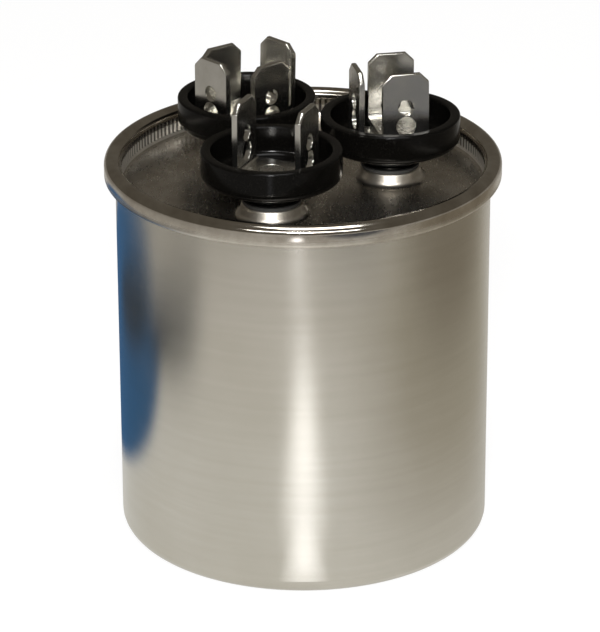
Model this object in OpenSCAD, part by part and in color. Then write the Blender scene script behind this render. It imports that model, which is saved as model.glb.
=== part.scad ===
// Dual motor run capacitor: a drawn round can closed by a double-seamed cover,
// with three insulated terminals that carry folded quick-connect blades.
// The origin is the centre of the can's base, and +Z points up through the terminals.

/* [Can] */
// Outside diameter of the can's straight wall
can_d = 50.8; // [46:0.1:64]
// Height from the base to the top of the seam
can_h = 54; // [40:0.5:110]
// Thickness of the can's side wall
can_wall = 0.4; // [0.3:0.05:0.6]
// Thickness of the can's base
base_t = 0.8; // [0.5:0.1:1.5]
// Outside radius of the corner between the base and the wall
base_r = 1.8; // [1:0.1:3]

/* [Cover and seam] */
// Thickness of the cover's sheet
cover_t = 0.4; // [0.3:0.05:0.6]
// Height of the rolled seam
seam_h = 3; // [2.6:0.1:4]
// Gap between the folded layers of the seam
seam_gap = 0.1; // [0.05:0.01:0.15]
// Depth of the cover's panel below the top of the seam
panel_depth = 4.2; // [3.5:0.1:6]
// Inside radius of the corner between the panel and the chuck wall
panel_bend_r = 0.6; // [0.3:0.1:1]

/* [Terminal bosses] */
// Radius of the circle that the three terminals stand on
terminal_circle_r = 12; // [11.2:0.1:14]
// Angle of the compressor terminal on that circle
terminal_start_angle = 9.75; // [0:0.25:90]
// Radius of a boss where it rises from the panel
boss_base_r = 4.75; // [4.5:0.05:5]
// Radius of a boss at its top
boss_top_r = 4.35; // [4.1:0.05:4.5]
// Height of a boss above the panel
boss_h = 1.8; // [1.4:0.1:2.4]
// Radius of the rounded shoulder at a boss's top
boss_shoulder_r = 0.45; // [0.2:0.05:0.6]

/* [Insulator cups] */
// Outside radius of a cup
cup_r = 9.45; // [8.8:0.05:9.8]
// Thickness of a cup's side wall
cup_wall = 1.4; // [1:0.1:1.8]
// Height of a cup's rim above its seat
cup_h = 7; // [6.4:0.1:9]
// Thickness of a cup's floor at its bore
cup_floor_t = 3; // [2.5:0.1:3.4]
// Height above the seat at which a cup's underside meets its side wall
cup_corner_h = 3.2; // [2.8:0.1:3.3]
// Radius of a cup's neck
cup_neck_r = 3.95; // [3.6:0.05:4.1]
// Height of a cup's neck
cup_neck_h = 0.4; // [0.2:0.1:0.8]
// Radius of the spigot that locates a cup in its boss
spigot_r = 2.5; // [2.3:0.05:2.7]
// Length of the spigot below the underside of the boss
spigot_reach = 0.6; // [0.3:0.1:0.8]
// Thickness of the gasket under a cup
gasket_t = 0.4; // [0.2:0.1:0.8]

/* [Blades] */
// Width of a quick-connect blade
blade_w = 6.3; // [4.8:0.05:6.5]
// Thickness of a blade
blade_t = 0.8; // [0.5:0.05:0.9]
// Inside radius of the bend at a blade's foot
blade_bend_r = 0.5; // [0.3:0.05:0.6]
// Height of the chamfer at a tip's corners
tip_chamfer_h = 1.25; // [0.5:0.05:1.5]
// Width of the chamfer at a tip's corners
tip_chamfer_w = 1.1; // [0.5:0.05:1.5]
// Depth of the coined bevel on each face of a tip
tip_bevel = 0.22; // [0.1:0.01:0.24]
// Height of the coined bevel on each face of a tip
tip_bevel_h = 0.7; // [0.4:0.05:1]
// Diameter of a blade's upper hole, the detent
detent_d = 2.2; // [1.6:0.1:2.4]
// Depth of the detent's centre below the tip
detent_drop = 4.7; // [4:0.1:5]
// Diameter of a blade's lower hole
lower_hole_d = 2.7; // [2:0.1:2.8]
// Depth of the lower hole's centre below the tip
lower_hole_drop = 7.3; // [7:0.05:7.4]

/* [Common blades] */
// Turn of the upper pair of blades
common_turn = 43; // [0:1:90]
// Distance between the upper blades, middle to middle
common_upper_span = 11.9; // [11:0.1:12]
// Distance between the lower blades, middle to middle
common_lower_span = 9.9; // [8.6:0.1:10]
// Height of a tip above the underside of its own plate
common_blade_h = 9.4; // [9:0.1:14]
// Shift of both pairs along their plates
common_shift = 0.25; // [0:0.05:0.4]

/* [Compressor blades] */
// Turn of the pair of blades
compressor_turn = 102; // [60:1:150]
// Distance between the pair's blades, middle to middle
compressor_span = 9; // [8.6:0.1:10]
// Height of a tip of the pair above the underside of its plate
compressor_pair_h = 9.8; // [9:0.1:14]
// Shift of the pair along its plate
compressor_shift = 0.3; // [0:0.05:0.4]
// Shift of the pair across its plate
compressor_slide = 1.1; // [0:0.1:1.2]
// Distance from the rivet to the middle of the single blade
single_offset = 4.65; // [4.3:0.05:5]
// Height of the single blade's tip above the underside of its plate
single_h = 10.5; // [9:0.1:14]

/* [Fan blades] */
// Turn of the pair of blades
fan_turn = 157; // [120:1:180]
// Distance between the blades, middle to middle
fan_span = 9; // [8.6:0.1:10]
// Height of a tip above the underside of the plate
fan_blade_h = 10; // [9:0.1:14]
// Shift of the pair along its plate
fan_shift = 0.45; // [0:0.05:0.5]
// Shift of the pair across its plate
fan_slide = 0.3; // [0:0.1:1.2]

/* [Rivets and sealing stack] */
// Radius of a terminal rivet's shank
rivet_r = 1.6; // [1.3:0.05:1.8]
// Radius of the flange that carries the blade plates
rivet_flange_r = 3; // [2.6:0.1:3.6]
// Thickness of that flange
rivet_flange_h = 0.3; // [0.2:0.05:0.6]
// Radius of a rivet's clinched tail
rivet_tail_r = 2.3; // [2.1:0.05:2.5]
// Height of a rivet's clinched tail
rivet_tail_h = 0.7; // [0.5:0.1:1]
// Radius of the insulating bush under the cover
bush_r = 3.6; // [3.4:0.05:3.65]
// Height of the insulating bush
bush_h = 2.2; // [2:0.1:2.6]
// Radius of the washer between the bush and the rivet's tail
washer_r = 2.9; // [2.6:0.05:3.2]
// Thickness of that washer
washer_t = 0.5; // [0.4:0.1:0.8]

/* [Sealed element] */
// Gap between the sealed element and the can's wall
element_gap = 0.3; // [0.2:0.05:1]
// Room left between the element's top and the rivets' tails
element_headroom = 3.4; // [2.5:0.1:8]
// Radius of the winding's core
core_r = 4; // [3:0.1:5]
// Height of the core above the winding
core_h = 1; // [0.5:0.1:2]
// Radius of a lead that rises from the element to a rivet
lead_r = 0.8; // [0.5:0.05:1.2]

/* [Fits] */
// Radial clearance of a rivet in the parts that it passes through
rivet_clearance = 0.05; // [0.03:0.01:0.1]
// Radial clearance of a spigot in the cover, the gasket and the bush
spigot_clearance = 0.1; // [0.05:0.01:0.15]

/* [Hidden] */
$fn = 72;
overlap = 0.2;
arc_ease = 0.001;

// Small rounds
boss_skirt_w = 0.8;
rim_round_r = 0.3;
cup_corner_r = 1.2;
cup_neck_fillet_r = 0.8;
cup_floor_fillet_r = 0.9;
boss_fillet_r = 0.3;
rivet_round_r = 0.5;
bush_recess_room = 0.2;

// Seam, from the can's wall outwards
can_r = can_d / 2;
flange_bend_r = seam_gap + cover_t / 2;
flange_end_r = can_r + 2 * flange_bend_r;
seam_wall_r = flange_end_r + can_wall + seam_gap;
chuck_r = can_r - can_wall;
crest_bend_r = (seam_wall_r - chuck_r) / 2;
crest_r = crest_bend_r + cover_t;
crest_z = can_h - crest_r;
hook_bend_r = seam_gap + can_wall / 2;
hook_inner_r = can_r + seam_gap;
hook_bottom_z = can_h - seam_h;
hook_bend_z = hook_bottom_z + cover_t + hook_bend_r;

// Cover and terminal stack, from the panel upwards
panel_z = can_h - panel_depth;
boss_z = panel_z + boss_h;
boss_under_z = boss_z - cover_t;
boss_hole_r = spigot_r + spigot_clearance;
boss_skirt_r = boss_base_r + boss_skirt_w;
seat_z = boss_z + gasket_t;
floor_z = seat_z + cup_floor_t;
rim_z = seat_z + cup_h;
rivet_hole_r = rivet_r + rivet_clearance;
plate_z = floor_z + rivet_flange_h;

// Terminal stack, from the cover's underside downwards
spigot_end_z = boss_under_z - spigot_reach;
bush_z = boss_under_z - bush_h;
washer_z = bush_z - washer_t;
tail_z = washer_z - rivet_tail_h;
element_z = tail_z - element_headroom;

// Blade's bend, from its axis to the middle and the outside of the sheet
bend_mid_r = blade_bend_r + blade_t / 2;
bend_outer_r = blade_bend_r + blade_t;

common = 1;
compressor = 0;
fan = 2;

aluminium = [0.72, 0.7, 0.66];
cover_metal = [0.5, 0.47, 0.43];
black_plastic = [0.06, 0.06, 0.06];
rubber = [0.12, 0.12, 0.12];
tinned = [0.68, 0.67, 0.62];
rivet_metal = [0.75, 0.74, 0.7];
bush_plastic = [0.85, 0.82, 0.72];
film = [0.86, 0.84, 0.76];

function unit(v) = v / norm(v);
function turn(a, c, b) = (c[0] - a[0]) * (b[1] - c[1]) - (c[1] - a[1]) * (b[0] - c[0]);

// Area between the corner c of the outline a-c-b and a circle of radius r touching both sides.
// Where the corner isn't square the circle is a hair larger, so that it crosses the sides cleanly.
module corner_sliver(a, c, b, r, reach) {
    to_a = unit(a - c);
    to_b = unit(b - c);
    half_angle = acos(to_a * to_b) / 2;
    middle = unit(to_a + to_b);
    side = r / tan(half_angle);
    centre = c + middle * r / sin(half_angle);
    ease = abs(to_a * to_b) < arc_ease ? 0 : arc_ease;
    difference() {
        polygon([c - middle * reach, c + to_a * side, centre, c + to_b * side]);
        translate(centre) circle(r + ease);
    }
}

// Counter-clockwise outline whose corners have the given radii, 0 for a sharp one
module rounded_outline(points, radii) {
    n = len(points);
    difference() {
        union() {
            polygon(points);
            for (i = [0:n - 1])
                if (radii[i] > 0 && turn(points[(i + n - 1) % n], points[i], points[(i + 1) % n]) < 0)
                    corner_sliver(points[(i + n - 1) % n], points[i], points[(i + 1) % n], radii[i], 0);
        }
        for (i = [0:n - 1])
            if (radii[i] > 0 && turn(points[(i + n - 1) % n], points[i], points[(i + 1) % n]) > 0)
                corner_sliver(points[(i + n - 1) % n], points[i], points[(i + 1) % n], radii[i], overlap);
    }
}

// Body turned about Z from rows of [radius, height, corner radius]
module turned(rows) {
    rotate_extrude()
        rounded_outline([for (row = rows) [row[0], row[1]]], [for (row = rows) row[2]]);
}

module ring(outer_r, inner_r, h) {
    difference() {
        cylinder(r = outer_r, h = h);
        translate([0, 0, -overlap]) cylinder(r = inner_r, h = h + 2 * overlap);
    }
}

module at_terminal(index) {
    rotate(terminal_start_angle + 120 * index) translate([terminal_circle_r, 0, 0])
        rotate(-terminal_start_angle - 120 * index) children();
}

module can() {
    color(aluminium) turned([
        [0, 0, 0],
        [can_r, 0, base_r],
        [can_r, crest_z + flange_bend_r, flange_bend_r],
        [flange_end_r, crest_z + flange_bend_r, flange_bend_r],
        [flange_end_r, hook_bend_z, 0],
        [flange_end_r + can_wall, hook_bend_z, 0],
        [flange_end_r + can_wall, crest_z + flange_bend_r + can_wall, flange_bend_r + can_wall],
        [can_r - can_wall, crest_z + flange_bend_r + can_wall, flange_bend_r + can_wall],
        [can_r - can_wall, base_t, base_r - can_wall],
        [0, base_t, 0]
    ]);
}

module cover_sheet() {
    turned([
        [0, panel_z - cover_t, 0],
        [chuck_r, panel_z - cover_t, panel_bend_r + cover_t],
        [chuck_r, crest_z + crest_bend_r, crest_bend_r],
        [seam_wall_r, crest_z + crest_bend_r, crest_bend_r],
        [seam_wall_r, hook_bottom_z + cover_t, hook_bend_r],
        [hook_inner_r + cover_t, hook_bottom_z + cover_t, hook_bend_r],
        [hook_inner_r + cover_t, crest_z, 0],
        [hook_inner_r, crest_z, 0],
        [hook_inner_r, hook_bottom_z, hook_bend_r + cover_t],
        [seam_wall_r + cover_t, hook_bottom_z, hook_bend_r + cover_t],
        [seam_wall_r + cover_t, can_h, crest_r],
        [chuck_r - cover_t, can_h, crest_r],
        [chuck_r - cover_t, panel_z, panel_bend_r],
        [0, panel_z, 0]
    ]);
}

module boss_shell() {
    turned([
        [boss_hole_r, boss_under_z, 0],
        [boss_top_r - cover_t, boss_under_z, 0],
        [boss_base_r - cover_t, panel_z - cover_t, boss_fillet_r + cover_t],
        [boss_skirt_r, panel_z - cover_t, 0],
        [boss_skirt_r, panel_z, 0],
        [boss_base_r, panel_z, boss_fillet_r],
        [boss_top_r, boss_z, boss_shoulder_r],
        [boss_hole_r, boss_z, 0]
    ]);
}

module cover() {
    color(cover_metal) union() {
        difference() {
            cover_sheet();
            for (index = [compressor, common, fan])
                at_terminal(index) translate([0, 0, panel_z - cover_t - overlap])
                    cylinder(r = boss_skirt_r, h = cover_t + 2 * overlap);
        }
        for (index = [compressor, common, fan]) at_terminal(index) boss_shell();
    }
}

module cup() {
    color(black_plastic) turned([
        [rivet_hole_r, spigot_end_z, 0],
        [spigot_r, spigot_end_z, 0],
        [spigot_r, seat_z, 0],
        [cup_neck_r, seat_z, 0],
        [cup_neck_r, seat_z + cup_neck_h, cup_neck_fillet_r],
        [cup_r, seat_z + cup_corner_h, cup_corner_r],
        [cup_r, rim_z, rim_round_r],
        [cup_r - cup_wall, rim_z, rim_round_r],
        [cup_r - cup_wall, floor_z, cup_floor_fillet_r],
        [rivet_hole_r, floor_z, 0]
    ]);
}

module gasket() {
    color(rubber) translate([0, 0, boss_z])
        ring(cup_neck_r, spigot_r + spigot_clearance, gasket_t);
}

module bush() {
    recess_z = spigot_end_z - bush_recess_room;
    color(bush_plastic) difference() {
        translate([0, 0, bush_z]) ring(bush_r, rivet_hole_r, bush_h);
        translate([0, 0, recess_z])
            cylinder(r = spigot_r + spigot_clearance, h = boss_under_z - recess_z + overlap);
    }
}

module clinch_washer() {
    color(rivet_metal) translate([0, 0, washer_z]) ring(washer_r, rivet_hole_r, washer_t);
}

// Rivet whose upper end is peened flush into the given number of blade plates
module rivet(plates) {
    top_z = plate_z + plates * blade_t;
    color(rivet_metal) turned([
        [0, tail_z, 0],
        [rivet_tail_r, tail_z, rivet_round_r],
        [rivet_tail_r, washer_z, 0],
        [rivet_r, washer_z, 0],
        [rivet_r, floor_z, 0],
        [rivet_flange_r, floor_z, 0],
        [rivet_flange_r, plate_z, 0],
        [rivet_r, plate_z, 0],
        [rivet_r, top_z, 0],
        [0, top_z, 0]
    ]);
}

// Flat blade standing on y = 0, centred on x = 0, with its inner face at z = 0
module blade(leg_h) {
    half_w = blade_w / 2;
    difference() {
        linear_extrude(blade_t) difference() {
            polygon([
                [-half_w, 0], [half_w, 0], [half_w, leg_h - tip_chamfer_h],
                [half_w - tip_chamfer_w, leg_h], [tip_chamfer_w - half_w, leg_h],
                [-half_w, leg_h - tip_chamfer_h]
            ]);
            translate([0, leg_h - detent_drop]) circle(d = detent_d);
            translate([0, leg_h - lower_hole_drop]) circle(d = lower_hole_d);
        }
        for (side = [0, 1])
            translate([0, 0, side * blade_t]) mirror([0, 0, side])
                rotate([90, 0, 90]) translate([0, 0, -blade_w])
                    linear_extrude(2 * blade_w) polygon([
                        [leg_h - tip_bevel_h, 0],
                        [leg_h + tip_bevel_h, 2 * tip_bevel],
                        [leg_h + tip_bevel_h, -tip_bevel],
                        [leg_h - tip_bevel_h, -tip_bevel]
                    ]);
    }
}

// Quarter bend and the blade of height h that rises from it, at the +X end of a plate
module bent_blade(offset_x, h) {
    translate([offset_x - bend_mid_r, 0, bend_outer_r]) {
        rotate([90, 0, 0]) translate([0, 0, -blade_w / 2]) linear_extrude(blade_w)
            intersection() {
                difference() {
                    circle(bend_outer_r);
                    circle(blade_bend_r);
                }
                translate([0, -2 * bend_outer_r]) square(2 * bend_outer_r);
            }
        translate([blade_bend_r, 0, 0]) rotate([90, 0, 90]) blade(h - bend_outer_r);
    }
}

// Plate at the given level above the rivet's flange: its +X blade stands at offsets[0] from the rivet,
// and a second blade stands at offsets[1] on the -X side where the strap is a pair
module strap(level, offsets, slide, h) {
    plate_x0 = len(offsets) > 1 ? bend_mid_r - offsets[1] : -blade_w / 2;
    plate_x1 = offsets[0] - bend_mid_r;
    color(tinned) translate([0, 0, plate_z + level * blade_t]) difference() {
        translate([0, slide, 0]) union() {
            translate([plate_x0, -blade_w / 2, 0]) cube([plate_x1 - plate_x0, blade_w, blade_t]);
            for (i = [0:len(offsets) - 1]) rotate(180 * i) bent_blade(offsets[i], h);
        }
        translate([0, 0, -overlap]) cylinder(r = rivet_hole_r, h = blade_t + 2 * overlap);
    }
}

// Offsets of a pair's two blades from the rivet, for a pair shifted towards +X
function pair(span, shift) = [span / 2 + shift, span / 2 - shift];

module common_blades_lower() {
    at_terminal(common) rotate(common_turn - 90)
        strap(0, pair(common_lower_span, -common_shift), 0, common_blade_h);
}

module common_blades_upper() {
    at_terminal(common) rotate(common_turn)
        strap(1, pair(common_upper_span, -common_shift), 0, common_blade_h);
}

module compressor_blade_single() {
    at_terminal(compressor) rotate(compressor_turn + 90) strap(0, [single_offset], 0, single_h);
}

module compressor_blades_pair() {
    at_terminal(compressor) rotate(compressor_turn)
        strap(1, pair(compressor_span, compressor_shift), -compressor_slide, compressor_pair_h);
}

module fan_blades() {
    at_terminal(fan) rotate(fan_turn)
        strap(0, pair(fan_span, -fan_shift), -fan_slide, fan_blade_h);
}

module sealed_element() {
    element_r = can_r - can_wall - element_gap;
    color(film) union() {
        turned([
            [0, base_t, 0],
            [element_r, base_t, base_r],
            [element_r, element_z, 1],
            [core_r, element_z, 0],
            [core_r, element_z + core_h, 0],
            [0, element_z + core_h, 0]
        ]);
        for (index = [compressor, common, fan])
            at_terminal(index) translate([0, 0, element_z - overlap])
                cylinder(r = lead_r, h = element_headroom + overlap);
    }
}

can();
cover();
sealed_element();
at_terminal(common) cup();  // common_cup
at_terminal(common) gasket();  // common_gasket
at_terminal(common) bush();  // common_bush
at_terminal(common) clinch_washer();  // common_washer
at_terminal(common) rivet(2);  // common_rivet
common_blades_lower();
common_blades_upper();
at_terminal(compressor) cup();  // compressor_cup
at_terminal(compressor) gasket();  // compressor_gasket
at_terminal(compressor) bush();  // compressor_bush
at_terminal(compressor) clinch_washer();  // compressor_washer
at_terminal(compressor) rivet(2);  // compressor_rivet
compressor_blade_single();
compressor_blades_pair();
at_terminal(fan) cup();  // fan_cup
at_terminal(fan) gasket();  // fan_gasket
at_terminal(fan) bush();  // fan_bush
at_terminal(fan) clinch_washer();  // fan_washer
at_terminal(fan) rivet(1);  // fan_rivet
fan_blades();
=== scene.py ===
"""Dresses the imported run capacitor: modelled metalwork, insulator cups, finishes and studio."""

from __future__ import annotations

import logging
import math
from dataclasses import dataclass, field
from enum import Enum
from typing import Callable, Sequence

import bpy
from mathutils import Matrix, Vector


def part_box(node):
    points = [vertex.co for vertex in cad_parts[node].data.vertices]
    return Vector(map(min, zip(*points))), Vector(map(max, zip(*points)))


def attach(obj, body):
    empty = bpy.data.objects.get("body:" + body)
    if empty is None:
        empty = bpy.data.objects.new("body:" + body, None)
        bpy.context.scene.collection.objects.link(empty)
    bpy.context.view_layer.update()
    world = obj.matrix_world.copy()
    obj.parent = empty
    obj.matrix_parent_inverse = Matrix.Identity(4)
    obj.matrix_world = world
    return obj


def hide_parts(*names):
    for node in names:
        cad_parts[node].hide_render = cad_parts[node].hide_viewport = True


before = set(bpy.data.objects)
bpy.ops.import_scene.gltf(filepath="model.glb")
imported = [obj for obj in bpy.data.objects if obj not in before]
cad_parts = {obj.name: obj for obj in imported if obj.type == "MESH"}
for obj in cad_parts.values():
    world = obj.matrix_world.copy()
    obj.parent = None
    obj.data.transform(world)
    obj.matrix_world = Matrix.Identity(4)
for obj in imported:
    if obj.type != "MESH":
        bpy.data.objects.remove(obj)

MM = 0.001
CLOSE = 0.02 * MM  # how far a selected place may lie from where it is looked for
MERGED = 0.001 * MM  # points nearer than this become one
log = logging.getLogger("run_capacitor")

Piece = bpy.types.Object
Material = bpy.types.Material
Node = bpy.types.Node
Socket = bpy.types.NodeSocket
Colour = tuple[float, float, float, float]
Triple = tuple[float, float, float]
Point = tuple[float, float]


class Terminal(Enum):
    """The three terminals, by the first word of their nodes' names."""

    COMPRESSOR = "compressor"
    COMMON = "common"
    FAN = "fan"


class EndKind(Enum):
    """How a turned section ends: each end capped with a disc, or joined to the other end."""

    CAPPED = "capped"
    JOINED = "joined"


# --------------------------------------------------------------------------- finishes


class NodeBoard:
    """A material's node tree, with short calls for the nodes that the finishes share."""

    def __init__(self, name: str) -> None:
        """Starts a material with nothing but its coordinates.

        Args:
            name: the material's name.
        """
        self.material = bpy.data.materials.new(name)
        self.material.use_nodes = True
        self.tree = self.material.node_tree
        self.tree.nodes.clear()
        self.place = self.add("ShaderNodeTexCoord").outputs["Object"]

    def add(self, kind: str, inputs: dict[int | str, object] | None = None, **settings: object) -> Node:
        """Adds a node.

        Args:
            kind: the node's type name.
            inputs: a value or a socket for each input that is set, by the input's name or number.
            **settings: properties set on the node.

        Returns:
            The new node.
        """
        node = self.tree.nodes.new(kind)
        for key, value in settings.items():
            setattr(node, key, value)
        for key, value in (inputs or {}).items():
            if isinstance(value, Socket):
                self.tree.links.new(value, node.inputs[key])
            else:
                node.inputs[key].default_value = value
        return node

    def stretched(self, scale: Triple) -> Socket:
        """Gives the object's coordinates, scaled along each axis.

        Args:
            scale: the factors along X, Y and Z.

        Returns:
            The vector socket.
        """
        return self.add("ShaderNodeMapping", {"Scale": scale, "Vector": self.place}).outputs["Vector"]

    def height(self) -> Socket:
        """Gives the height above the object's base, in metres."""
        return self.add("ShaderNodeSeparateXYZ", {"Vector": self.place}).outputs["Z"]

    def reach(self, scale: Triple) -> Socket:
        """Gives the distance from the object's origin, with each axis scaled first.

        Args:
            scale: the factors along X, Y and Z.

        Returns:
            The distance's socket.
        """
        place = self.stretched(scale)
        return self.add("ShaderNodeVectorMath", {0: place}, operation="LENGTH").outputs["Value"]

    def noise(
        self, scale: float, stretch: Triple = (1.0, 1.0, 1.0), detail: float = 4.0, roughness: float = 0.55
    ) -> Socket:
        """Adds a noise pattern.

        Args:
            scale: waves per metre.
            stretch: extra factors along each axis.
            detail: octaves.
            roughness: weight of the finer octaves.

        Returns:
            The pattern's value socket, about 0 to 1.
        """
        vector = self.stretched(stretch)
        inputs = {"Scale": scale, "Detail": detail, "Roughness": roughness, "Vector": vector}
        return self.add("ShaderNodeTexNoise", inputs).outputs["Fac"]

    def spread(self, value: Socket, low: float, high: float, start: float = 0.3, end: float = 0.7) -> Socket:
        """Maps a pattern from start..end to low..high.

        Returns:
            The mapped value socket.
        """
        inputs = {"Value": value, "From Min": start, "From Max": end, "To Min": low, "To Max": high}
        return self.add("ShaderNodeMapRange", inputs).outputs["Result"]

    def tint(self, value: Socket, stops: Sequence[tuple[float, Colour]]) -> Socket:
        """Colours a pattern.

        Args:
            value: the pattern.
            stops: places from 0 to 1 with their colours.

        Returns:
            The colour socket.
        """
        ramp = self.add("ShaderNodeValToRGB", {"Fac": value})
        elements = ramp.color_ramp.elements
        while len(elements) < len(stops):
            elements.new(0.5)
        for element, (place, colour) in zip(elements, stops):
            element.position = place
            element.color = colour
        return ramp.outputs["Color"]

    def joined(self, operation: str, values: Sequence[Socket]) -> Socket:
        """Joins values in order by one operation of the math node.

        Returns:
            The result's socket.
        """
        result = values[0]
        for value in values[1:]:
            result = self.add("ShaderNodeMath", {0: result, 1: value}, operation=operation).outputs["Value"]
        return result

    def total(self, *values: Socket) -> Socket:
        """Adds values."""
        return self.joined("ADD", values)

    def product(self, *values: Socket) -> Socket:
        """Multiplies values."""
        return self.joined("MULTIPLY", values)

    def mix(self, share: Socket, first: Socket | Colour, second: Socket | Colour) -> Socket:
        """Mixes two colours by a share.

        Returns:
            The colour socket.
        """
        return self.add("ShaderNodeMix", {0: share, 6: first, 7: second}, data_type="RGBA").outputs[2]

    def relief(self, height: Socket, depth: float) -> Socket:
        """Turns a height pattern into a bumped normal.

        Args:
            height: the pattern.
            depth: the relief's full depth in millimetres.

        Returns:
            The normal socket.
        """
        inputs = {"Height": height, "Distance": depth * MM, "Strength": 1.0}
        return self.add("ShaderNodeBump", inputs).outputs["Normal"]

    def glow_over(self, share: Socket, under: Node, colour: Socket | Colour) -> Material:
        """Mixes an even glow over another shader.

        Args:
            share: how much of the glow shows.
            under: the other shader's node.
            colour: the glow's colour, plain or patterned.

        Returns:
            The finished material.
        """
        glow = self.add("ShaderNodeEmission", {"Color": colour})
        blend = self.add("ShaderNodeMixShader", {0: share, 1: under.outputs[0], 2: glow.outputs[0]})
        self.add("ShaderNodeOutputMaterial", {"Surface": blend.outputs[0]})
        return self.material

    def shade(
        self, colour: Socket, roughness: Socket, normal: Socket, metallic: float, **others: float | Socket
    ) -> Material:
        """Joins the patterns to the surface shader.

        Args:
            colour: the base colour.
            roughness: the roughness.
            normal: the bumped normal.
            metallic: 1 for bare metal, 0 otherwise.
            **others: what goes into other inputs, with _ for each space in the name.

        Returns:
            The finished material.
        """
        inputs = {"Base Color": colour, "Roughness": roughness, "Normal": normal, "Metallic": metallic}
        inputs.update({key.replace("_", " "): value for key, value in others.items()})
        shader = self.add("ShaderNodeBsdfPrincipled", inputs)
        self.add("ShaderNodeOutputMaterial", {"Surface": shader.outputs["BSDF"]})
        return self.material


class Finish:
    """A procedural finish. Each kind of surface sets out its own patterns."""

    def make(self, name: str) -> Material:
        """Builds the material.

        Args:
            name: the material's name.

        Returns:
            The material.
        """
        return self.paint(NodeBoard(name))

    def paint(self, board: NodeBoard) -> Material:
        """Sets out the patterns and joins them to the shader.

        Args:
            board: the new material's nodes.

        Returns:
            The finished material.
        """
        raise NotImplementedError


@dataclass(frozen=True)
class DrawnAluminium(Finish):
    """Satin skin of the drawn can: fine even grain, soft handling marks and a sheen drawn out upwards."""

    light: Colour = (0.61, 0.585, 0.525, 1)
    dark: Colour = (0.54, 0.515, 0.45, 1)
    roughness: float = 0.2
    sheen_stretch: float = 0.3
    sheen_turn: float = 0.25
    depth: float = 0.003

    def paint(self, board: NodeBoard) -> Material:
        """Sets out clouds, drawing rings and grain. Args and result are the base class's."""
        cloud = board.noise(45, detail=3)
        rings = board.noise(900, stretch=(0.05, 0.05, 1.0))
        grain = board.noise(7500, roughness=0.7)
        ringed = board.product(cloud, board.spread(rings, 0.85, 1.15))
        marks = board.total(ringed, board.spread(grain, -0.12, 0.12))
        colour = board.tint(marks, ((0.3, self.dark), (0.7, self.light)))
        rough = board.total(
            board.spread(grain, self.roughness - 0.03, self.roughness + 0.03),
            board.spread(cloud, -0.02, 0.05),
        )
        height = board.total(board.spread(rings, 0.0, 0.3), board.spread(grain, 0.0, 0.7))
        around = board.add("ShaderNodeTangent", direction_type="RADIAL", axis="Z").outputs["Tangent"]
        return board.shade(
            colour,
            rough,
            board.relief(height, self.depth),
            1.0,
            Tangent=around,
            Anisotropic=self.sheen_stretch,
            Anisotropic_Rotation=self.sheen_turn,
        )


@dataclass(frozen=True)
class RolledCoverMetal(Finish):
    """Tarnished sheet of the cover: satin panel, duller bosses, bright seam, painted shade in the wall's
    flutes and a painted highlight on their ridges.

    Heights and radii are in millimetres. The wall's bands are distances outwards from its face.
    """

    light: Colour = (0.60, 0.565, 0.50, 1)
    dark: Colour = (0.44, 0.40, 0.34, 1)
    # painted light: a painted highlight for the flutes' ridges and painted shade for the flutes' floors
    ridge_painted_highlight: Colour = (0.86, 0.83, 0.77, 1)
    groove_painted_shade: Colour = (0.14, 0.13, 0.115, 1)
    roughness: float = 0.27
    boss_dulling: float = 0.09
    boss_heights: Point = (49.9, 50.2)
    seam_dulling: float = -0.25
    seam_heights: Point = (51.7, 52.2)
    wall_radius: float = 24.6
    wall_start: Point = (-0.06, -0.03)
    wall_end: Point = (0.30, 0.45)
    wall_top: Point = (52.5, 52.7)
    flute_depths: Point = (0.02, 0.20)
    depth: float = 0.0025

    def step(self, board: NodeBoard, value: Socket, low: float, high: float, band: Point) -> Socket:
        """Goes from low to high over a band given in millimetres.

        Args:
            board: the material's nodes.
            value: the height or radius, in metres.
            low: the result below the band.
            high: the result above it.
            band: where the change starts and ends.

        Returns:
            The value socket.
        """
        return board.spread(value, low, high, band[0] * MM, band[1] * MM)

    def painted_flute_light(self, board: NodeBoard, sheet: Socket) -> Socket:
        """Paints a highlight on the chuck wall's ridges and shade down in its flutes, over the rest of the
        cover's colour.

        Args:
            board: the material's nodes.
            sheet: the colour of the rest of the cover.

        Returns:
            The colour socket.
        """
        radius = board.reach((1, 1, 0))

        def outwards(low: float, high: float, band: Point) -> Socket:
            """Goes from low to high over a band measured from the wall's face."""
            start, end = band
            return self.step(board, radius, low, high, (self.wall_radius + start, self.wall_radius + end))

        on_wall = board.product(
            outwards(0.0, 1.0, self.wall_start),
            outwards(1.0, 0.0, self.wall_end),
            self.step(board, board.height(), 1.0, 0.0, self.wall_top),
        )
        # painted highlight on the flutes' ridges, painted shade down in their floors
        painted_flute_shading = board.tint(outwards(0.0, 1.0, self.flute_depths), ((0.4, self.ridge_painted_highlight), (0.95, self.groove_painted_shade)))
        return board.mix(on_wall, sheet, painted_flute_shading)

    def paint(self, board: NodeBoard) -> Material:
        """Sets out mottle, scuffs and the burnished seam. Args and result are the base class's."""
        mottle = board.noise(260, detail=6, roughness=0.6)
        broad = board.noise(60, detail=2)
        scuffs = board.noise(1400, stretch=(1.0, 0.25, 0.6), detail=3)
        sheet = board.tint(board.spread(mottle, 0.0, 1.0), ((0.15, self.dark), (0.85, self.light)))
        up = board.height()
        rough = board.total(
            self.step(board, up, 0.0, self.seam_dulling, self.seam_heights),
            self.step(board, up, 0.0, self.boss_dulling, self.boss_heights),
            board.spread(mottle, self.roughness + 0.01, self.roughness - 0.01),
            board.spread(scuffs, -0.01, 0.02),
        )
        height = board.total(board.spread(broad, 0.0, 0.8), board.spread(mottle, 0.0, 0.2))
        # the wall's colour carries the painted highlight and painted shade of the flutes
        return board.shade(self.painted_flute_light(board, sheet), rough, board.relief(height, self.depth), 1.0)


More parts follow.
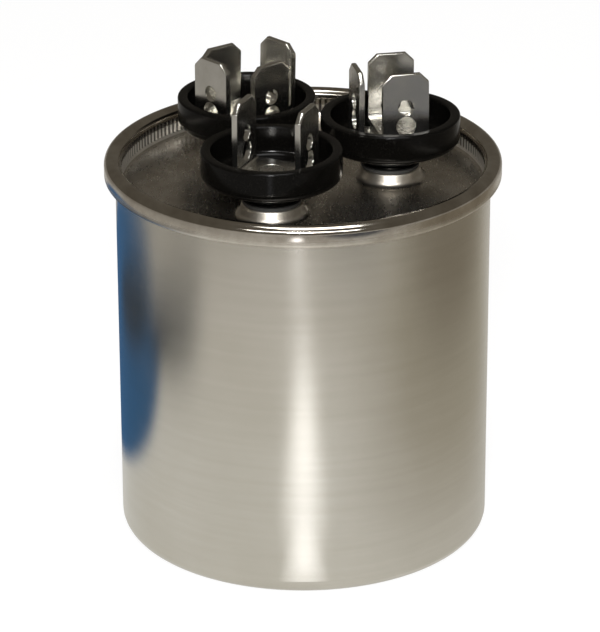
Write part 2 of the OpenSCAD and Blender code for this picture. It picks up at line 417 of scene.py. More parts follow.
@dataclass(frozen=True)
class TinnedBrass(Finish):
    """Tinned blade stock: smooth warm grey, slightly wavy, with small dull patches."""

    light: Colour = (0.66, 0.645, 0.60, 1)
    dark: Colour = (0.59, 0.575, 0.525, 1)
    roughness: float = 0.21
    depth: float = 0.014

    def paint(self, board: NodeBoard) -> Material:
        """Sets out patches, waves and grain. Args and result are the base class's."""
        patches = board.noise(420, detail=5, roughness=0.62)
        waves = board.noise(150, detail=2)
        grain = board.noise(4200, detail=2)
        colour = board.tint(board.spread(patches, 0.0, 1.0), ((0.1, self.dark), (0.9, self.light)))
        rough = board.total(
            board.spread(patches, self.roughness + 0.03, self.roughness - 0.02),
            board.spread(grain, -0.01, 0.015),
        )
        height = board.total(board.spread(waves, 0.0, 0.95), board.spread(grain, 0.0, 0.05))
        return board.shade(colour, rough, board.relief(height, self.depth), 1.0)


@dataclass(frozen=True)
class RivetSteel(Finish):
    """Pressed rivet, paler and rougher than the blades."""

    light: Colour = (0.72, 0.70, 0.66, 1)
    dark: Colour = (0.56, 0.54, 0.50, 1)
    roughness: float = 0.26
    depth: float = 0.01

    def paint(self, board: NodeBoard) -> Material:
        """Sets out tool marks. Args and result are the base class's."""
        marks = board.noise(900)
        colour = board.tint(marks, ((0.3, self.dark), (0.7, self.light)))
        rough = board.spread(marks, self.roughness + 0.06, self.roughness - 0.04)
        return board.shade(colour, rough, board.relief(marks, self.depth), 1.0)


@dataclass(frozen=True)
class MouldedPhenolic(Finish):
    """Gloss black moulding: slight flow waves and dust in its finish."""

    black: Colour = (0.0024, 0.0022, 0.0019, 1)
    worn: Colour = (0.012, 0.011, 0.009, 1)
    roughness: float = 0.13
    reflection: float = 0.09
    depth: float = 0.02

    def paint(self, board: NodeBoard) -> Material:
        """Sets out flow waves and specks. Args and result are the base class's."""
        flow = board.noise(120, detail=3)
        dust = board.noise(5200, detail=2, roughness=0.7)
        specks = board.spread(dust, 0.0, 1.0, 0.62, 0.75)
        colour = board.tint(specks, ((0.0, self.black), (1.0, self.worn)))
        rough = board.total(
            board.spread(flow, self.roughness - 0.03, self.roughness + 0.05),
            board.spread(specks, 0.0, 0.12, 0.0, 1.0),
        )
        height = board.total(board.spread(flow, 0.0, 0.9), board.spread(dust, 0.0, 0.1))
        relief = board.relief(height, self.depth)
        return board.shade(colour, rough, relief, 0.0, Specular_IOR_Level=self.reflection, IOR=1.5)


@dataclass(frozen=True)
class MattFinish(Finish):
    """Plain non-metal finish with a fine tooth, for rubber, bushes and the wound film."""

    light: Colour
    dark: Colour
    roughness: float
    grain: float = 2500.0
    depth: float = 0.02

    def paint(self, board: NodeBoard) -> Material:
        """Sets out clouds and tooth. Args and result are the base class's."""
        tooth = board.noise(self.grain)
        colour = board.tint(board.noise(150, detail=3), ((0.3, self.dark), (0.7, self.light)))
        rough = board.spread(tooth, self.roughness - 0.06, self.roughness + 0.06)
        return board.shade(colour, rough, board.relief(tooth, self.depth), 0.0)


class FinishShelf:
    """Makes each finish once and hands it out by the record's slot name."""

    def __init__(self) -> None:
        """Lists what each slot is finished with."""
        self.recipes = {
            "can_aluminium": DrawnAluminium(),
            "cover_metal": RolledCoverMetal(),
            "tinned_blade": TinnedBrass(),
            "rivet_metal": RivetSteel(),
            "black_plastic": MouldedPhenolic(),
            "gasket_rubber": MattFinish((0.03, 0.03, 0.028, 1), (0.018, 0.018, 0.017, 1), 0.62),
            "bush_plastic": MattFinish((0.74, 0.70, 0.60, 1), (0.66, 0.62, 0.52, 1), 0.5),
            "film_winding": MattFinish((0.70, 0.66, 0.56, 1), (0.58, 0.54, 0.44, 1), 0.45, 700.0, 0.05),
        }
        self.made: dict[str, Material] = {}

    def take(self, slot: str) -> Material:
        """Gives the slot's material, making it the first time.

        Args:
            slot: the slot's name in the record.

        Returns:
            The material.
        """
        if slot not in self.made:
            self.made[slot] = self.recipes[slot].make(slot)
        return self.made[slot]

    def dress(self, piece: Piece, slot: str) -> None:
        """Puts a finish on every part of a piece.

        Args:
            piece: the mesh object.
            slot: the slot's name in the record.
        """
        piece.data.materials.clear()
        piece.data.materials.append(self.take(slot))
        for polygon in piece.data.polygons:
            polygon.material_index = 0


# --------------------------------------------------------------------------- bench


class Bench:
    """Edit-mode work that the pieces share."""

    @staticmethod
    def clear() -> None:
        """Leaves edit mode and deselects everything."""
        if bpy.context.object and bpy.context.object.mode != "OBJECT":
            bpy.ops.object.mode_set(mode="OBJECT")
        bpy.ops.object.select_all(action="DESELECT")

    @staticmethod
    def pick(piece: Piece) -> None:
        """Selects one object alone and makes it active.

        Args:
            piece: the object.
        """
        Bench.clear()
        piece.select_set(True)
        bpy.context.view_layer.objects.active = piece

    @staticmethod
    def select(piece: Piece, kind: str, test: Callable[..., bool]) -> None:
        """In edit mode, selects the points, edges or faces that pass a test.

        Args:
            piece: the object in edit mode.
            kind: VERT, EDGE or FACE.
            test: takes a point's place, the places of an edge's two ends, or a face's centre and normal.

        Raises:
            ValueError: where nothing passes.
        """
        bpy.ops.mesh.select_mode(type=kind)
        bpy.ops.mesh.select_all(action="DESELECT")
        bpy.ops.object.mode_set(mode="OBJECT")
        mesh = piece.data
        if kind == "VERT":
            rows = [(vertex, (vertex.co,)) for vertex in mesh.vertices]
        elif kind == "EDGE":
            rows = [(edge, [mesh.vertices[index].co for index in edge.vertices]) for edge in mesh.edges]
        else:
            rows = [(face, (face.center, face.normal)) for face in mesh.polygons]
        for element, facts in rows:
            element.select = test(*facts)
        if not any(element.select for element, _ in rows):
            raise ValueError(f"nothing of {piece.name} was selected")
        bpy.ops.object.mode_set(mode="EDIT")

    @staticmethod
    def apply(piece: Piece, kind: str, **settings: object) -> None:
        """Adds a modifier, sets it and applies it.

        Args:
            piece: the object.
            kind: the modifier's type name.
            **settings: the modifier's properties.
        """
        Bench.pick(piece)
        modifier = piece.modifiers.new(kind.lower(), kind)
        for key, value in settings.items():
            setattr(modifier, key, value)
        bpy.ops.object.modifier_apply(modifier=modifier.name)

    @staticmethod
    def settle(piece: Piece, angle: float = 32.0) -> Piece:
        """Puts the object's place into its mesh and shades its rounds smooth.

        Args:
            piece: the object.
            angle: edges sharper than this many degrees stay sharp.

        Returns:
            The same object.
        """
        Bench.pick(piece)
        bpy.ops.object.transform_apply(location=True, rotation=True, scale=True)
        bpy.ops.object.shade_smooth_by_angle(angle=math.radians(angle))
        Bench.apply(piece, "WEIGHTED_NORMAL", keep_sharp=True)
        return piece


@dataclass(frozen=True)
class Corner:
    """One corner of a turned section, in millimetres."""

    radius: float
    height: float
    rounding: float = 0.0


@dataclass
class Lathe:
    """Turns sections about a vertical axis, ring by ring."""

    segments: int = 192
    arc_steps: int = 7

    def path(self, corners: Sequence[Corner], ends: EndKind) -> list[Point]:
        """Lays the section's points, with its rounded corners as short steps.

        Args:
            corners: the section's corners in order.
            ends: whether the last corner joins the first.

        Returns:
            Points of radius and height in millimetres.
        """
        points: list[Point] = []
        count = len(corners)
        for index, corner in enumerate(corners):
            here = Vector((corner.radius, corner.height))
            at_end = ends is EndKind.CAPPED and index in (0, count - 1)
            if corner.rounding <= 0 or at_end:
                points.append((corner.radius, corner.height))
                continue
            before, after = corners[index - 1], corners[(index + 1) % count]
            to_before = (Vector((before.radius, before.height)) - here).normalized()
            to_after = (Vector((after.radius, after.height)) - here).normalized()
            half = to_before.angle(to_after) / 2
            middle = (to_before + to_after).normalized()
            centre = here + middle * corner.rounding / math.sin(half)
            start = here + to_before * corner.rounding / math.tan(half) - centre
            end = here + to_after * corner.rounding / math.tan(half) - centre
            sweep = start.angle_signed(end)
            for step in range(self.arc_steps + 1):
                turn = -sweep * step / self.arc_steps
                spoke = Matrix.Rotation(turn, 2) @ start
                points.append((centre.x + spoke.x, centre.y + spoke.y))
        return points

    def turn(
        self, name: str, corners: Sequence[Corner], ends: EndKind, centre: Vector = Vector((0, 0, 0))
    ) -> Piece:
        """Turns a section into a closed piece.

        Args:
            name: the piece's name.
            corners: the section's corners in order.
            ends: how the section's two ends are closed.
            centre: the axis's place.

        Returns:
            The new object.
        """
        points = self.path(corners, ends)
        Bench.clear()
        radius, height = points[0]
        bpy.ops.mesh.primitive_circle_add(
            vertices=self.segments,
            radius=radius * MM,
            fill_type="NGON" if ends is EndKind.CAPPED else "NOTHING",
            location=(centre.x, centre.y, height * MM),
        )
        piece = bpy.context.object
        piece.name = piece.data.name = name
        bpy.ops.object.mode_set(mode="EDIT")
        bpy.ops.mesh.select_mode(type="EDGE")
        bpy.ops.mesh.select_all(action="SELECT")
        for last, point in zip(points, points[1:]):
            bpy.ops.mesh.extrude_edges_move(
                TRANSFORM_OT_translate={"value": (0, 0, (point[1] - last[1]) * MM)}
            )
            factor = point[0] / last[0]
            bpy.ops.transform.resize(
                value=(factor, factor, 1), center_override=(centre.x, centre.y, point[1] * MM)
            )
        if ends is EndKind.CAPPED:
            bpy.ops.mesh.edge_face_add()
        else:
            self.select_end_rings(piece)
            bpy.ops.mesh.bridge_edge_loops()
        bpy.ops.mesh.select_all(action="SELECT")
        bpy.ops.mesh.normals_make_consistent(inside=False)
        bpy.ops.object.mode_set(mode="OBJECT")
        return piece

    def select_end_rings(self, piece: Piece) -> None:
        """In edit mode, selects the first and the last ring of a turned piece.

        Args:
            piece: the object in edit mode.
        """
        bpy.ops.object.mode_set(mode="OBJECT")
        mesh = piece.data
        last_ring = len(mesh.vertices) - self.segments
        for edge in mesh.edges:
            edge.select = max(edge.vertices) < self.segments or min(edge.vertices) >= last_ring
        for vertex in mesh.vertices:
            vertex.select = vertex.index < self.segments or vertex.index >= last_ring
        for polygon in mesh.polygons:
            polygon.select = False
        bpy.ops.object.mode_set(mode="EDIT")


# --------------------------------------------------------------------------- metalwork


@dataclass
class CanAndCover:
    """Drawn can, its double-seamed cover with the knurled chuck wall, and the three raised bosses."""

    radius: float = 25.4
    height: float = 54.0
    wall: float = 0.4
    base_thickness: float = 0.8
    base_round: float = 1.8
    foot_width: float = 2.6
    foot_step: float = 0.8
    foot_lift: float = 0.12
    sheet: float = 0.4
    seam_gap: float = 0.1
    seam_height: float = 3.0
    hem_recess: float = 0.05
    hem_width: float = 1.0
    hem_edge: float = 0.7
    hem_round: float = 0.62
    crest_ease: float = 0.02
    panel_depth: float = 4.2
    panel_round: float = 0.6
    hub: float = 0.6
    flat_by_bend: float = 2.0
    boss_base: float = 4.55
    boss_top: float = 4.0
    boss_height: float = 1.8
    boss_shoulder: float = 0.45
    boss_flare: float = 1.0
    boss_reach: float = 0.75
    boss_bore: float = 2.6
    boss_skirt: float = 0.1
    boss_sink: float = 0.2
    boss_proud: float = 0.005
    knurl_count: int = 192
    knurl_depth: float = 0.26
    knurl_low: float = 50.6
    knurl_high: float = 52.8
    knurl_runout: float = 0.3
    knurl_share: float = 0.3
    lathe: Lathe = field(default_factory=lambda: Lathe(segments=384, arc_steps=8))

    @property
    def panel(self) -> float:
        """Height of the cover's panel."""
        return self.height - self.panel_depth

    @property
    def chuck_inside(self) -> float:
        """Radius of the chuck wall's visible face."""
        return self.radius - self.wall - self.sheet

    @property
    def seam_outside(self) -> float:
        """Outside radius of the seam."""
        return self.radius + 2 * self.sheet + self.wall + 3 * self.seam_gap

    def can(self) -> Piece:
        """Turns the can as one shell, from the inside of its base over its lip to the outside.

        Returns:
            The can.
        """
        inner = self.radius - self.wall
        lip = self.height - self.seam_height + self.sheet + self.seam_gap
        corners = (
            Corner(self.hub, self.base_thickness),
            Corner(inner - self.flat_by_bend, self.base_thickness),
            Corner(inner, self.base_thickness, self.base_round - self.wall),
            Corner(inner, lip),
            Corner(self.radius, lip),
            Corner(self.radius, 0.0, self.base_round),
            Corner(self.radius - self.foot_width, 0.0),
            Corner(self.radius - self.foot_width - self.foot_step, self.foot_lift),
            Corner(self.hub, self.foot_lift),
        )
        return Bench.settle(self.lathe.turn("can_body", corners, EndKind.CAPPED))

    def cover(self) -> Piece:
        """Turns the cover's panel, chuck wall and rolled seam, and presses the wall's flutes.

        Returns:
            The cover.
        """
        outside = self.seam_outside
        chuck = self.chuck_inside
        low = self.height - self.seam_height
        crest = (outside - chuck) / 2
        under = self.panel - self.sheet
        corners = (
            Corner(self.hub, under),
            Corner(chuck - self.flat_by_bend, under),
            Corner(chuck + self.sheet, under, self.panel_round + self.sheet),
            Corner(chuck + self.sheet, low - self.hem_recess),
            Corner(outside - self.hem_width, low - self.hem_recess),
            Corner(outside - self.hem_edge, low),
            Corner(outside, low, self.hem_round),
            Corner(outside, low + self.hem_width),
            Corner(outside, self.height, crest),
            Corner(chuck, self.height, crest - self.crest_ease),
            Corner(chuck, self.knurl_high),
            Corner(chuck, self.knurl_high - self.knurl_runout),
            Corner(chuck, self.knurl_low),
            Corner(chuck, self.panel, self.panel_round),
            Corner(chuck - self.panel_round - self.sheet, self.panel),
            Corner(self.hub, self.panel),
        )
        piece = self.lathe.turn("cover_sheet", corners, EndKind.CAPPED)
        self.knurl(piece)
        return Bench.settle(piece)

    def knurl(self, piece: Piece) -> None:
        """Presses the upright flutes that the seaming chuck leaves in its wall.

        Args:
            piece: the turned cover.
        """
        Bench.pick(piece)
        bpy.ops.object.transform_apply(location=True, rotation=True, scale=True)
        bpy.ops.object.mode_set(mode="EDIT")
        chuck = self.chuck_inside * MM
        shoulder = (self.knurl_high - self.knurl_runout) * MM
        pitch = math.tau / self.knurl_count

        def in_flute(place: Vector) -> bool:
            """Tells whether a point lies on a flute's floor."""
            on_wall = abs(math.hypot(place.x, place.y) - chuck) < CLOSE
            at_height = any(abs(place.z - level) < CLOSE for level in (shoulder, self.knurl_low * MM))
            share = (math.atan2(place.y, place.x) / pitch) % 1.0
            return on_wall and at_height and min(share, 1 - share) < self.knurl_share

        Bench.select(piece, "VERT", in_flute)
        factor = 1 + self.knurl_depth / self.chuck_inside
        bpy.ops.transform.resize(value=(factor, factor, 1), center_override=(0, 0, shoulder))
        bpy.ops.object.mode_set(mode="OBJECT")

    def boss(self, terminal: Terminal, centre: Vector) -> Piece:
        """Turns one raised boss, which flares into the panel.

        Args:
            terminal: the terminal that it carries.
            centre: the terminal's axis.

        Returns:
            The boss.
        """
        top = self.panel + self.boss_height
        foot = self.boss_base + self.boss_reach
        corners = (
            Corner(foot + self.boss_skirt, self.panel - self.boss_sink),
            Corner(foot + self.boss_skirt, self.panel + self.boss_proud),
            Corner(self.boss_base, self.panel + self.boss_proud, self.boss_flare),
            Corner(self.boss_top, top, self.boss_shoulder),
            Corner(self.boss_bore, top),
            Corner(self.boss_bore, self.panel - self.boss_sink),
        )
        name = f"cover_boss_{terminal.value}"
        return Bench.settle(Lathe(segments=128, arc_steps=8).turn(name, corners, EndKind.JOINED, centre))


@dataclass
class InsulatorCup:
    """Black moulded cup that stands on its spigot in a boss."""

    terminal: Terminal
    seat: float = 52.0
    outside: float = 9.45
    wall: float = 1.4
    rim: float = 7.0
    floor: float = 3.0
    corner_height: float = 3.2
    neck: float = 3.6
    neck_height: float = 0.4
    bore: float = 1.65
    spigot: float = 2.5
    spigot_reach: float = 1.4
    spigot_round: float = 0.15
    seat_round: float = 0.12
    neck_round: float = 0.25
    corner_round: float = 1.2
    rim_round: float = 0.3
    floor_round: float = 0.9

    def make(self, centre: Vector) -> Piece:
        """Turns the cup from its full section.

        Args:
            centre: the terminal's axis.

        Returns:
            The cup.
        """
        inside = self.outside - self.wall
        corners = (
            Corner(self.bore, self.seat - self.spigot_reach),
            Corner(self.spigot, self.seat - self.spigot_reach, self.spigot_round),
            Corner(self.spigot, self.seat),
            Corner(self.neck, self.seat, self.seat_round),
            Corner(self.neck, self.seat + self.neck_height, self.neck_round),
            Corner(self.outside, self.seat + self.corner_height, self.corner_round),
            Corner(self.outside, self.seat + self.rim, self.rim_round),
            Corner(inside, self.seat + self.rim, self.rim_round),
            Corner(inside, self.seat + self.floor, self.floor_round),
            Corner(self.bore, self.seat + self.floor),
        )
        name = f"insulator_cup_{self.terminal.value}"
        return Bench.settle(Lathe(segments=160, arc_steps=7).turn(name, corners, EndKind.JOINED, centre))


@dataclass
class Rivet:
    """Terminal rivet: clinched tail, flange under the plates, and an end peened flush with the top plate."""

    terminal: Terminal
    plates: int
    floor: float = 55.0
    plate: float = 0.8
    shank: float = 1.6
    flange: float = 3.0
    flange_height: float = 0.3
    tail: float = 2.3
    washer_bottom: float = 48.5
    tail_height: float = 0.7
    tail_round: float = 0.5
    tail_hub: float = 0.3
    flange_round: float = 0.08
    end_round: float = 0.1
    dish_radius: float = 1.0
    dish_depth: float = 0.02
    dish_hub: float = 0.2

    def make(self, centre: Vector) -> Piece:
        """Turns the rivet.

        Args:
            centre: the terminal's axis.

        Returns:
            The rivet.
        """
        seat = self.floor + self.flange_height
        top = seat + self.plates * self.plate
        clinch = self.washer_bottom
        corners = (
            Corner(self.tail_hub, clinch - self.tail_height),
            Corner(self.tail, clinch - self.tail_height, self.tail_round),
            Corner(self.tail, clinch),
            Corner(self.shank, clinch),
            Corner(self.shank, self.floor),
            Corner(self.flange, self.floor, self.flange_round),
            Corner(self.flange, seat, self.flange_round),
            Corner(self.shank, seat),
            Corner(self.shank, top, self.end_round),
            Corner(self.dish_radius, top - self.dish_depth),
            Corner(self.dish_hub, top - self.dish_depth),
        )
        name = f"terminal_rivet_{self.terminal.value}"
        return Bench.settle(Lathe(segments=72, arc_steps=6).turn(name, corners, EndKind.CAPPED, centre))


@dataclass(frozen=True)
class BladePlan:
    """One blade of a strap: its distance from the rivet, its height and its small faults."""

    offset: float
    height: float
    twist: float = 0.0
    lean: float = 0.0


@dataclass
class BladeStrap:
    """Strap of blade stock, folded up at one end or at both into quick-connect blades."""

    name: str
    terminal: Terminal
    node: str
    level: int
    turn: float
    slide: float
    blades: tuple[BladePlan, ...]
    width: float = 6.3
    stock: float = 0.8
    bend: float = 0.5
    chamfer: float = 1.17
    coin: float = 0.24
    detent: float = 2.2
    detent_drop: float = 4.7
    lower_hole: float = 2.7
    lower_drop: float = 7.3
    rivet_hole: float = 1.65
    seat: float = 55.3
    edge_round: float = 0.07
    bend_steps: int = 8
    lifts: int = 4

    def make(self, centre: Vector) -> Piece:
        """Folds the strap and puts it on its terminal.

        Args:
            centre: the terminal's axis.

        Returns:
            The strap.
        """
        piece = self.plate()
        for side, plan in zip((1, -1), self.blades):
            self.fold(piece, side, plan)
        bpy.ops.mesh.select_all(action="SELECT")
        bpy.ops.mesh.remove_doubles(threshold=MERGED)
        bpy.ops.mesh.select_all(action="DESELECT")
        bpy.ops.mesh.select_interior_faces()
        bpy.ops.mesh.delete(type="ONLY_FACE")
        bpy.ops.mesh.select_all(action="SELECT")
        bpy.ops.mesh.normals_make_consistent(inside=False)
        bpy.ops.object.mode_set(mode="OBJECT")
        for side, plan in zip((1, -1), self.blades):
            self.drill(piece, side, plan)
        self.bore(piece)
        Bench.apply(
            piece, "BEVEL", width=self.edge_round * MM, segments=3, limit_method="ANGLE",
            angle_limit=math.radians(40), harden_normals=False, use_clamp_overlap=True,
        )
        piece.rotation_euler = (0, 0, math.radians(self.turn))
        piece.location = (centre.x, centre.y, (self.seat + self.level * self.stock) * MM)
        return Bench.settle(piece, 30)

    def plate(self) -> Piece:
        """Cuts the flat plate between the bends, and leaves it in edit mode.

        Returns:
            The strap so far.
        """
        middle = self.bend + self.stock / 2
        high = (self.blades[0].offset - middle) * MM
        low = (middle - self.blades[1].offset) * MM if len(self.blades) > 1 else -self.width / 2 * MM
        Bench.clear()
        bpy.ops.mesh.primitive_cube_add(
            size=1,
            location=((high + low) / 2, self.slide * MM, self.stock / 2 * MM),
            scale=(high - low, self.width * MM, self.stock * MM),
        )
        piece = bpy.context.object
        piece.name = piece.data.name = self.name
        bpy.ops.object.transform_apply(location=True, rotation=True, scale=True)
        bpy.ops.object.mode_set(mode="EDIT")
        return piece

    def fold(self, piece: Piece, side: int, plan: BladePlan) -> None:
        """Bends one end up, draws the blade out of it and trims and coins its tip.

        Args:
            piece: the strap in edit mode.
            side: 1 for the +X end, -1 for the other.
            plan: the blade's plan.
        """
        middle = self.bend + self.stock / 2
        end = side * (plan.offset - middle) * MM
        Bench.select(
            piece, "FACE", lambda place, normal: normal.x * side > 0.9 and abs(place.x - end) < CLOSE
        )
        bpy.ops.mesh.spin(
            steps=self.bend_steps,
            angle=math.pi / 2,
            center=(end, 0, (self.stock + self.bend) * MM),
            axis=(0, side, 0),
        )
        foot = self.stock + self.bend
        lift = (plan.height - foot) / self.lifts
        axis_x = side * plan.offset * MM
        for step in range(self.lifts):
            bpy.ops.mesh.extrude_region_move(TRANSFORM_OT_translate={"value": (0, 0, lift * MM)})
            if plan.twist:
                bpy.ops.transform.rotate(
                    value=math.radians(plan.twist / self.lifts),
                    orient_axis="Z",
                    center_override=(axis_x, self.slide * MM, (foot + lift * (step + 1)) * MM),
                )
            if plan.lean:
                bpy.ops.transform.translate(
                    value=(side * math.tan(math.radians(plan.lean)) * lift * MM, 0, 0)
                )
        tip = plan.height * MM
        Bench.select(
            piece,
            "EDGE",
            lambda a, b: min(a.z, b.z) > tip - CLOSE
            and side * a.x > 0
            and abs((a - b).length - self.stock * MM) < CLOSE,
        )
        bpy.ops.mesh.bevel(offset=self.chamfer * MM, segments=1, affect="EDGES")
        Bench.select(
            piece,
            "EDGE",
            lambda a, b: side * a.x > 0
            and min(a.z, b.z) > tip - (self.chamfer + self.coin) * MM
            and abs((a - b).length - self.stock * MM) > CLOSE,
        )
        bpy.ops.mesh.bevel(offset=self.coin * MM, segments=2, profile=0.6, affect="EDGES")

    def drill(self, piece: Piece, side: int, plan: BladePlan) -> None:
        """Drills a blade's two holes.

        Args:
            piece: the strap.
            side: 1 for the +X blade, -1 for the other.
            plan: the blade's plan.
        """
        for across, drop in ((self.detent, self.detent_drop), (self.lower_hole, self.lower_drop)):
            height = plan.height - drop
            drift = math.tan(math.radians(plan.lean)) * max(0.0, height - self.stock - self.bend)
            self.cut(
                piece,
                across,
                Vector((side * (plan.offset + drift) * MM, self.slide * MM, height * MM)),
                (0, math.pi / 2, math.radians(-plan.twist * height / plan.height)),
            )

    def bore(self, piece: Piece) -> None:
        """Bores the plate for its rivet."""
        self.cut(piece, 2 * self.rivet_hole, Vector((0, 0, self.stock / 2 * MM)), (0, 0, 0))

    def cut(
        self, piece: Piece, across: float, place: Vector, turn: Triple
    ) -> None:
        """Takes a round hole out of the strap.

        Args:
            piece: the strap.
            across: the hole's diameter in millimetres.
            place: the hole's middle.
            turn: the drill's turn, from upright.
        """
        Bench.clear()
        bpy.ops.mesh.primitive_cylinder_add(
            vertices=48, radius=across / 2 * MM, depth=3 * self.stock * MM, location=place, rotation=turn
        )
        drill = bpy.context.object
        Bench.apply(piece, "BOOLEAN", operation="DIFFERENCE", object=drill, solver="EXACT")
        bpy.data.objects.remove(drill)


# --------------------------------------------------------------------------- assembly


@dataclass
class RunCapacitor:
    """The whole capacitor: replaces the plain solids by the worked pieces and finishes the rest."""

    shelf: FinishShelf = field(default_factory=FinishShelf)

    @staticmethod
    def axis(terminal: Terminal) -> Vector:
        """Finds a terminal's axis from its cup.

        Args:
            terminal: the terminal.

        Returns:
            The middle of the cup, at the origin's height.
        """
        low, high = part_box(f"{terminal.value}_cup")
        return Vector(((low.x + high.x) / 2, (low.y + high.y) / 2, 0))

    def straps(self) -> tuple[BladeStrap, ...]:
        """Plans the five straps.

        Returns:
            The straps, each with its terminal and the node that it stands for.
        """
        common, compressor, fan = Terminal.COMMON, Terminal.COMPRESSOR, Terminal.FAN
        return (
            BladeStrap(
                "blade_strap_common_lower", common, "common_blades_lower", 0, -47, 0,
                (BladePlan(4.70, 9.4), BladePlan(5.20, 9.4, twist=7)),
            ),
            BladeStrap(
                "blade_strap_common_upper", common, "common_blades_upper", 1, 43, 0,
                (BladePlan(5.70, 9.4, lean=1.5), BladePlan(6.20, 9.4)),
            ),
            BladeStrap(
                "blade_single_compressor", compressor, "compressor_blade_single", 0, 192, 0,
                (BladePlan(4.65, 10.5),),
            ),
            BladeStrap(
                "blade_strap_compressor", compressor, "compressor_blades_pair", 1, 102, -1.1,
                (BladePlan(4.80, 9.8, lean=-2), BladePlan(4.20, 9.8, lean=-2)),
            ),
            BladeStrap(
                "blade_strap_fan", fan, "fan_blades", 0, 157, -0.3,
                (BladePlan(4.05, 10.0), BladePlan(4.95, 10.0)),
            ),
        )

    def place(self, piece: Piece, slot: str, *nodes: str) -> None:
        """Finishes a piece, fixes it to the body and lets it stand for its nodes.

        Args:
            piece: the piece.
            slot: the material slot that it takes its finish from.
            *nodes: the nodes that it stands for.
        """
        self.shelf.dress(piece, slot)
        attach(piece, "root")
        if nodes:
            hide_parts(*nodes)
        log.info("%s: %d faces, stands for %s", piece.name, len(piece.data.polygons), nodes or "nothing")

    def build(self) -> None:
        """Makes every piece in order, from the can up to the blades."""
        metalwork = CanAndCover()
        self.place(metalwork.can(), "can_aluminium", "can")
        self.place(metalwork.cover(), "cover_metal", "cover")
        for terminal in Terminal:
            centre = self.axis(terminal)
            name = terminal.value
            self.place(metalwork.boss(terminal, centre), "cover_metal")
            self.place(InsulatorCup(terminal).make(centre), "black_plastic", f"{name}_cup")
            plates = 1 if terminal is Terminal.FAN else 2
            self.place(Rivet(terminal, plates).make(centre), "rivet_metal", f"{name}_rivet")
        for strap in self.straps():
            self.place(strap.make(self.axis(strap.terminal)), "tinned_blade", strap.node)
        self.dress_rest()

    def dress_rest(self) -> None:
        """Finishes the nodes that keep their own solids."""
        slots = {"gasket": "gasket_rubber", "bush": "bush_plastic", "washer": "rivet_metal"}
        self.shelf.dress(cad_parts["sealed_element"], "film_winding")
        for terminal in Terminal:
            for part, slot in slots.items():
                self.shelf.dress(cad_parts[f"{terminal.value}_{part}"], slot)
        log.info("sealed element, gaskets, bushes and washers finished")


# --------------------------------------------------------------------------- studio


@dataclass(frozen=True)
class SoftLamp:
    """Rectangular soft lamp that faces the capacitor's top."""

    name: str
    azimuth: float
    elevation: float
    distance: float
    width: float
    height: float
    watts: float

    def hang(self, target: Vector) -> None:
        """Hangs the lamp.

        Args:
            target: the point that it faces.
        """
        turn, rise = math.radians(self.azimuth), math.radians(self.elevation)
        away = Vector((math.cos(turn) * math.cos(rise), math.sin(turn) * math.cos(rise), math.sin(rise)))
        data = bpy.data.lights.new(self.name, "AREA")
        data.shape = "RECTANGLE"
        data.size, data.size_y = self.width, self.height
        data.energy = self.watts
        lamp = bpy.data.objects.new(self.name, data)
        lamp.location = target + away * self.distance
        lamp.rotation_euler = away.to_track_quat("Z", "Y").to_euler()
        bpy.context.scene.collection.objects.link(lamp)


@dataclass(frozen=True)
class MirrorCard:
    """Soft-edged elliptical card just above the floor that only the capacitor's gloss sees.

    Its place and size are in metres, its lift in millimetres, and soft is the share that fades out.
    """

    name: str
    colour: Triple
    centre: Point
    size: Point
    soft: float
    lift: float
    turn: float = 0.0

    def lay(self) -> None:
        """Lays the card in its place."""
        Bench.clear()
        bpy.ops.mesh.primitive_circle_add(vertices=96, radius=0.5, fill_type="NGON")
        card = bpy.context.object
        card.name = f"{self.name}_card"
        card.scale = (*self.size, 1)
        bpy.ops.object.transform_apply(location=False, rotation=False, scale=True)
        card.rotation_euler.z = math.radians(self.turn)
        card.location = (*self.centre, self.lift * MM)
        board = NodeBoard(card.name)
        edge = board.reach((2 / self.size[0], 2 / self.size[1], 1.0))
        share = board.spread(edge, 1.0, 0.0, 1 - self.soft, 1.0)
        rays = board.add("ShaderNodeLightPath")
        clear = board.add("ShaderNodeBsdfTransparent")
        seen = board.product(rays.outputs["Is Glossy Ray"], share)
        card.data.materials.append(board.glow_over(seen, clear, (*self.colour, 1)))


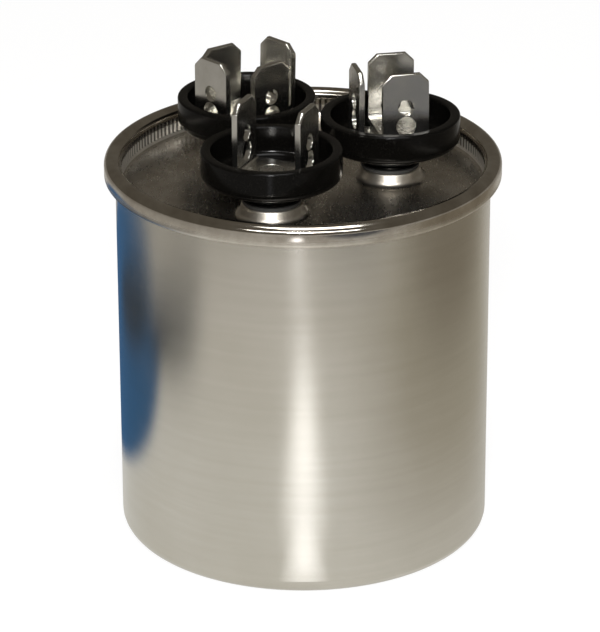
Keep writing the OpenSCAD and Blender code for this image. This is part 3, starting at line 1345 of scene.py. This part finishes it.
@dataclass
class Studio:
    """White floor that the metal mirrors as grey, soft lamps, cards to mirror, and the camera."""

    target_height: float = 27.0
    distance: float = 524.68
    elevation: float = 23.92
    roll: float = -0.17
    lens: float = 216.62
    shift: tuple[float, float] = (-0.0055, 0.031)
    world: Colour = (0.12, 0.108, 0.09, 1)
    lamps: tuple[SoftLamp, ...] = (
        SoftLamp("key", -91, 30, 0.70, 0.10, 0.09, 4.2),
        SoftLamp("front_fill", -90, 33, 0.75, 0.80, 0.07, 2.0),
        SoftLamp("top", -70, 80, 0.70, 0.35, 0.30, 2.5),
    )
    cards: tuple[MirrorCard, ...] = (
        MirrorCard("right_low", (0.46, 0.43, 0.365), (0.105, 0.0), (0.20, 0.25), 0.5, 1.2),
        MirrorCard("right_high", (0.25, 0.22, 0.175), (0.172, 0.02), (0.20, 0.28), 0.4, 1.4),
        MirrorCard("blue", (0.05, 0.135, 0.285), (-0.074, 0.053), (0.118, 0.122), 0.10, 1.6),
        MirrorCard("dark", (0.04, 0.045, 0.055), (-0.097, -0.022), (0.042, 0.095), 0.4, 1.8),
        MirrorCard("dark_blue", (0.05, 0.06, 0.075), (-0.084, 0.040), (0.042, 0.085), 0.4, 2.0, turn=-35),
        MirrorCard("slate", (0.075, 0.08, 0.095), (0.112, -0.215), (0.17, 0.18), 0.25, 1.8),
        MirrorCard("bright", (2.1, 2.1, 2.15), (0.0, -0.072), (0.024, 0.086), 0.75, 1.8),
        MirrorCard("bright_near", (1.9, 1.9, 1.95), (0.0, -0.036), (0.009, 0.036), 0.75, 2.0),
        MirrorCard("streak", (4.0, 4.0, 4.2), (-0.009, -0.164), (0.024, 0.05), 0.95, 1.8),
    )
    mirrored: tuple[tuple[float, Colour], ...] = (
        (0.26, (0.71, 0.70, 0.665, 1)),
        (0.46, (0.56, 0.53, 0.475, 1)),
        (0.72, (0.24, 0.22, 0.19, 1)),
    )
    mirrored_reach: float = 0.25
    camera_white: float = 1.07
    paper_white: float = 0.9
    floor_glow: float = 0.8
    floor_size: float = 6.0

    def build(self) -> None:
        """Sets the floor, cards, lamps, world and camera."""
        target = Vector((0, 0, self.target_height * MM))
        self.floor()
        for card in self.cards:
            card.lay()
        for lamp in self.lamps:
            lamp.hang(target)
        self.surroundings()
        self.camera(target)
        bpy.context.scene.view_settings.view_transform = "Standard"
        log.info("studio set with %d lamps and %d cards", len(self.lamps), len(self.cards))

    def floor(self) -> None:
        """Lays the floor: lightly shadowed white for the camera, a grey gradient for the gloss."""
        Bench.clear()
        bpy.ops.mesh.primitive_plane_add(size=self.floor_size)
        plane = bpy.context.object
        plane.name = "studio_floor"
        board = NodeBoard("studio_white")
        paper = board.add("ShaderNodeBsdfDiffuse", {"Color": (self.paper_white,) * 3 + (1,)})
        rays = board.add("ShaderNodeLightPath").outputs
        seen = board.total(rays["Is Camera Ray"], rays["Is Glossy Ray"], rays["Is Transmission Ray"])
        reach = board.spread(board.reach((1.0, 1.0, 1.0)), 0.0, 1.0, 0.0, self.mirrored_reach)
        colour = board.mix(
            rays["Is Glossy Ray"], (self.camera_white,) * 3 + (1,), board.tint(reach, self.mirrored)
        )
        share = board.spread(seen, 0.0, self.floor_glow, 0.0, 1.0)
        plane.data.materials.append(board.glow_over(share, paper, colour))

    def surroundings(self) -> None:
        """Gives the room a dim warm grey."""
        world = bpy.data.worlds.new("studio_room")
        world.use_nodes = True
        background = world.node_tree.nodes["Background"]
        background.inputs["Color"].default_value = self.world
        background.inputs["Strength"].default_value = 1.0
        bpy.context.scene.world = world

    def camera(self, target: Vector) -> None:
        """Stands the camera in front of the capacitor.

        Args:
            target: the point that it faces.
        """
        data = bpy.data.cameras.new("studio_camera")
        data.sensor_width = 36.0
        data.lens = self.lens
        data.shift_x, data.shift_y = self.shift
        data.clip_start, data.clip_end = 0.01, 20.0
        camera = bpy.data.objects.new("studio_camera", data)
        rise = math.radians(self.elevation)
        away = Vector((0, -math.cos(rise), math.sin(rise)))
        camera.location = target + away * self.distance * MM
        facing = away.to_track_quat("Z", "Y").to_matrix().to_4x4()
        camera.rotation_euler = (facing @ Matrix.Rotation(math.radians(self.roll), 4, "Z")).to_euler()
        bpy.context.scene.collection.objects.link(camera)
        bpy.context.scene.camera = camera


def main() -> None:
    """Builds the capacitor and its studio."""
    logging.basicConfig(level=logging.INFO, format="%(name)s: %(message)s")
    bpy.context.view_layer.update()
    RunCapacitor().build()
    Studio().build()


if __name__ == "__main__":
    main()
